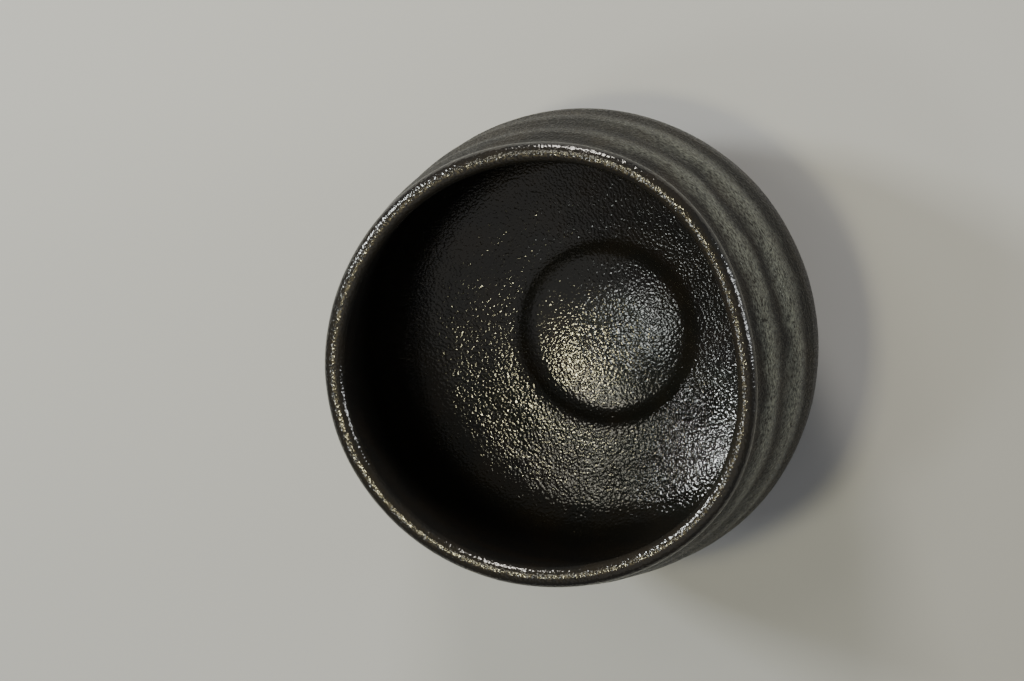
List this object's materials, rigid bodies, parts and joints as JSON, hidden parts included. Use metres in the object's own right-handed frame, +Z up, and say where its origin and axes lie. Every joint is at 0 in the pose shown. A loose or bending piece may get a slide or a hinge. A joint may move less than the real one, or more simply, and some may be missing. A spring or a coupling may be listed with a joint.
{
  "type": "matcha bowl",
  "caption": "Round black-glazed stoneware tea bowl with a full belly, a slightly incurved rounded lip, a round well in the floor and a bare foot ring.",
  "frame": {"origin": "on the ground under the middle of the foot ring, on the bowl's axis", "axes": "+Z up along the bowl's axis, out of its mouth; -Y towards the front, which is the side nearest the viewer; +X to the viewer's right"},
  "size_m": [0.1254, 0.1255, 0.085],
  "materials": {
    "clay": "bare fired stoneware, dark brown, matt and finely gritty",
    "inner_glaze": "black glaze, glossy, with a finely pebbled surface",
    "outer_glaze": "black glaze, satin to glossy, pebbled, thinner and browner along the lip"
  },
  "bodies": {
    "root": {"clay_body": "clay", "foot_ring": "clay", "inner_glaze": "inner_glaze", "outer_glaze": "outer_glaze"}
  },
  "joints": []
}
